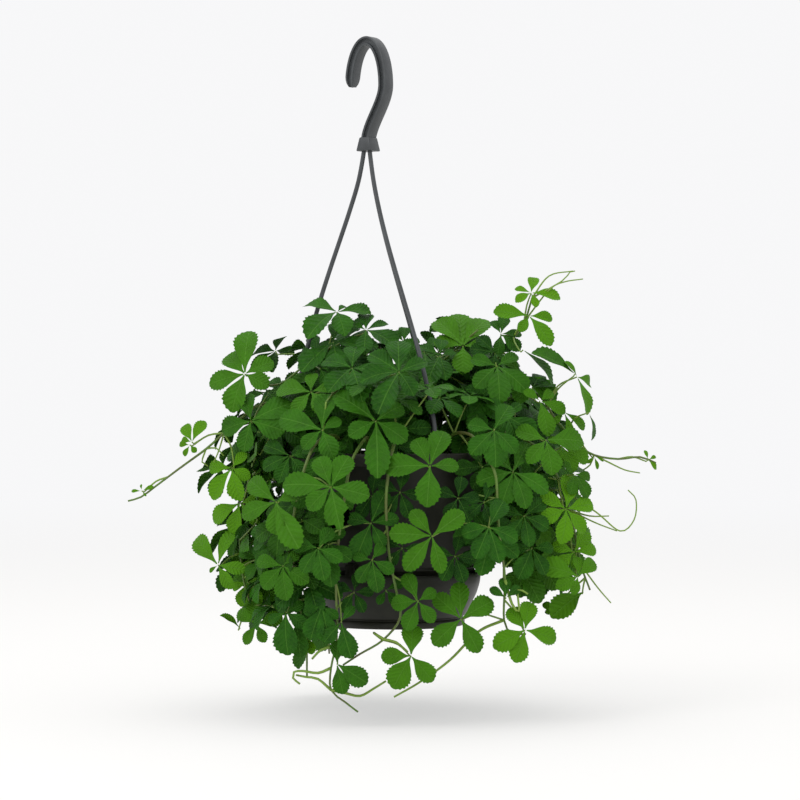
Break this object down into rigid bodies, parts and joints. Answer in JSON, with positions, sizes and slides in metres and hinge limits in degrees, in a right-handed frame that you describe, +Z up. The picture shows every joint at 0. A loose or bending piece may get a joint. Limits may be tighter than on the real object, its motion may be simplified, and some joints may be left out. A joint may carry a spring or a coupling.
{
  "type": "potted parthenocissus",
  "caption": "Small-leaved five-lobed creeper trailing from a dark plastic hanging pot with clip-on drip saucer and a strand hanger with hook.",
  "frame": {"origin": "inside the crown of the hook, on the line where it rests on the rail that carries it", "axes": "+Z up as it hangs; -Y is the front that the picture shows; +X is the viewer's right"},
  "size_m": [0.4267, 0.2977, 0.5429],
  "materials": {
    "hanger_plastic": "satin dark grey polypropylene",
    "pot_plastic": "satin anthracite polypropylene",
    "peat": "moist dark brown peat mix",
    "foliage": "living green leaves, slightly glossy"
  },
  "bodies": {
    "root": {"hook": "hanger_plastic", "strand_left": "hanger_plastic", "strand_front": "hanger_plastic", "strand_back": "hanger_plastic", "pot": "pot_plastic", "saucer": "pot_plastic", "soil": "peat", "vine_01": "foliage", "vine_02": "foliage", "vine_03": "foliage", "vine_04": "foliage", "vine_05": "foliage", "vine_06": "foliage", "vine_07": "foliage", "vine_08": "foliage", "vine_09": "foliage", "vine_10": "foliage", "vine_11": "foliage", "vine_12": "foliage", "vine_13": "foliage", "vine_14": "foliage", "vine_15": "foliage", "vine_16": "foliage", "vine_17": "foliage", "vine_18": "foliage", "vine_19": "foliage", "vine_20": "foliage"}
  },
  "joints": []
}
